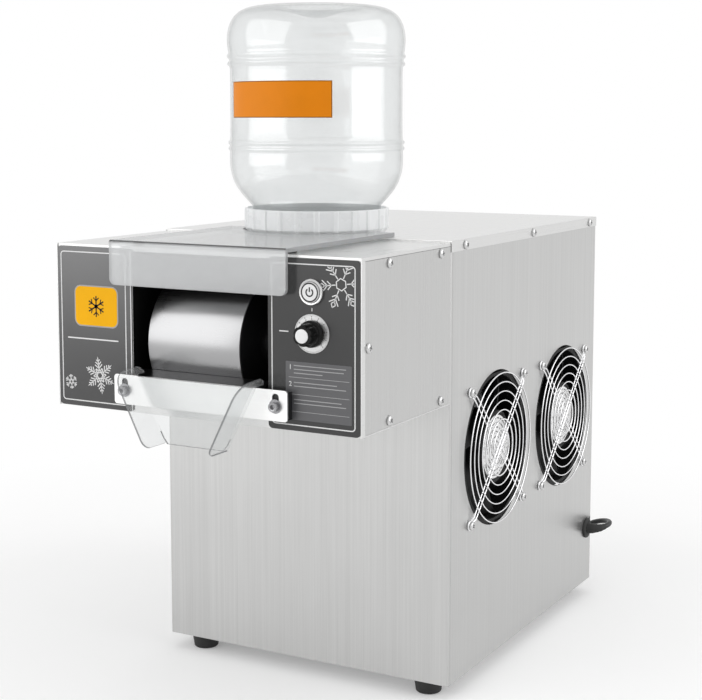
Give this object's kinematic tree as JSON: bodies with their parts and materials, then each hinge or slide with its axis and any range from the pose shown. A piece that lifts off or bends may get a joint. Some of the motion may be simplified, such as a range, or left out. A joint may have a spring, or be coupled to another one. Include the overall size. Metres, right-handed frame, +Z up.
{
  "type": "shaved ice machine",
  "caption": "Countertop shaved ice machine with a stainless cabinet, overhanging drum head, inverted clear bottle, clear chute and cover, side fans and control dial.",
  "frame": {"origin": "middle of the footprint box at the height of the rubber feet's lower faces", "axes": "+Z up, the head and its chute towards -Y, the fans on the +X side"},
  "size_m": [0.3487, 0.7084, 0.6598],
  "materials": {
    "brushed_steel": "stainless sheet with a fine vertical grain",
    "lid_steel": "satin stainless sheet of lid and head top",
    "bright_steel": "bright polished stainless of the scraper bar",
    "blade_steel": "ground blade steel",
    "drum_mirror": "polished stainless drum",
    "fascia_gloss": "dark grey printed gloss panel with plain white lines",
    "black_plastic": "black moulded plastic",
    "clear_plastic": "clear acrylic of cover and chute",
    "clear_bottle": "clear blown bottle",
    "white_translucent": "milky white moulded cap",
    "rubber": "black rubber",
    "chrome_wire": "chromed wire and screws",
    "copper": "copper tube",
    "compressor_paint": "black painted steel can",
    "condenser_fins": "pressed aluminium fins",
    "motor_paint": "grey painted gear motor",
    "gear_nylon": "natural nylon",
    "white_plastic": "white moulded plastic",
    "silver_dial": "silver dial plate with plain numbers",
    "board_green": "circuit board",
    "silicone": "clear silicone tube",
    "cord_rubber": "black mains cord and its mouldings",
    "orange_label": "blank orange sticker",
    "yellow_badge": "blank yellow badge",
    "white_print": "white printed lines and snowflakes"
  },
  "bodies": {
    "cabinet": {"base_tray": "brushed_steel", "rubber_feet": "rubber", "foot_screws": "chrome_wire", "front_panel": "brushed_steel", "left_side_panel": "brushed_steel", "right_side_panel": "brushed_steel", "back_panel": "brushed_steel", "top_lid": "lid_steel", "head_shell": "lid_steel", "head_left_plate": "brushed_steel", "head_right_plate": "brushed_steel", "left_fascia": "fascia_gloss", "right_fascia": "fascia_gloss", "pan_head_screws": "chrome_wire", "drum_chamber": "black_plastic", "drum_bearings": "chrome_wire", "gear_motor": "motor_paint", "motor_bracket": "brushed_steel", "milk_trough": "white_plastic", "bottle_seat": "white_plastic", "feed_tube": "silicone", "scraper_bar": "bright_steel", "scraper_block": "black_plastic", "scraper_blade": "blade_steel", "scraper_screws": "chrome_wire", "button_bezel": "chrome_wire", "speed_dial": "silver_dial", "speed_control": "black_plastic", "front_fan_frame": "black_plastic", "front_fan_guard": "chrome_wire", "rear_fan_frame": "black_plastic", "rear_fan_guard": "chrome_wire", "condenser": "condenser_fins", "compressor": "compressor_paint", "compressor_mounts": "rubber", "rotary_joint": "chrome_wire", "refrigerant_lines": "copper", "control_board": "board_green", "board_standoffs": "chrome_wire", "cord_gland": "cord_rubber", "power_cord": "cord_rubber", "cord_coil": "cord_rubber", "power_plug": "cord_rubber"},
    "drum": {"drum_sleeve": "drum_mirror", "drum_end_caps": "black_plastic", "drum_shaft": "bright_steel", "drum_gear": "gear_nylon", "evaporator_coil": "copper"},
    "pinion": {"motor_pinion": "gear_nylon"},
    "front_fan": {"front_fan_rotor": "black_plastic"},
    "rear_fan": {"rear_fan_rotor": "black_plastic"},
    "button": {"power_button": "white_plastic"},
    "knob": {"speed_knob": "black_plastic", "knob_cap": "white_plastic"},
    "snow_chute": {"chute": "clear_plastic"},
    "cover": {"top_cover": "clear_plastic", "cover_pads": "rubber"},
    "bottle": {"water_bottle": "clear_bottle", "bottle_cap": "white_translucent"}
  },
  "joints": [
    {"name": "drum_spin", "type": "hinge", "parent": "cabinet", "child": "drum", "pos_m": [-0.0028, -0.1975, 0.3509], "axis": [1, 0, 0], "continuous": true},
    {"name": "pinion_spin", "type": "hinge", "parent": "cabinet", "child": "pinion", "pos_m": [-0.0028, -0.1525, 0.3509], "axis": [1, 0, 0], "continuous": true},
    {"name": "front_fan_spin", "type": "hinge", "parent": "cabinet", "child": "front_fan", "pos_m": [-0.0028, 0.0208, 0.226], "axis": [1, 0, 0], "continuous": true},
    {"name": "rear_fan_spin", "type": "hinge", "parent": "cabinet", "child": "rear_fan", "pos_m": [-0.0028, 0.202, 0.226], "axis": [1, 0, 0], "continuous": true},
    {"name": "power_press", "type": "slide", "parent": "cabinet", "child": "button", "axis": [0, 1, 0], "range_m": [0, 0.002], "stiffness_N_per_m": 300},
    {"name": "speed_turn", "type": "hinge", "parent": "cabinet", "child": "knob", "pos_m": [0.1098, -0.2615, 0.3723], "axis": [0, 1, 0], "range_deg": [-135, 135]},
    {"name": "chute_lift", "type": "slide", "parent": "cabinet", "child": "snow_chute", "axis": [0, 0, 1], "range_m": [0, 0.06]},
    {"name": "cover_slide", "type": "slide", "parent": "cabinet", "child": "cover", "axis": [0, -1, 0], "range_m": [0, 0.08]},
    {"name": "bottle_lift", "type": "slide", "parent": "cabinet", "child": "bottle", "axis": [0, 0, 1], "range_m": [0, 0.12]}
  ],
  "couplings": [
    {"joint": "pinion_spin", "follows": "drum_spin", "ratio": -2}
  ]
}
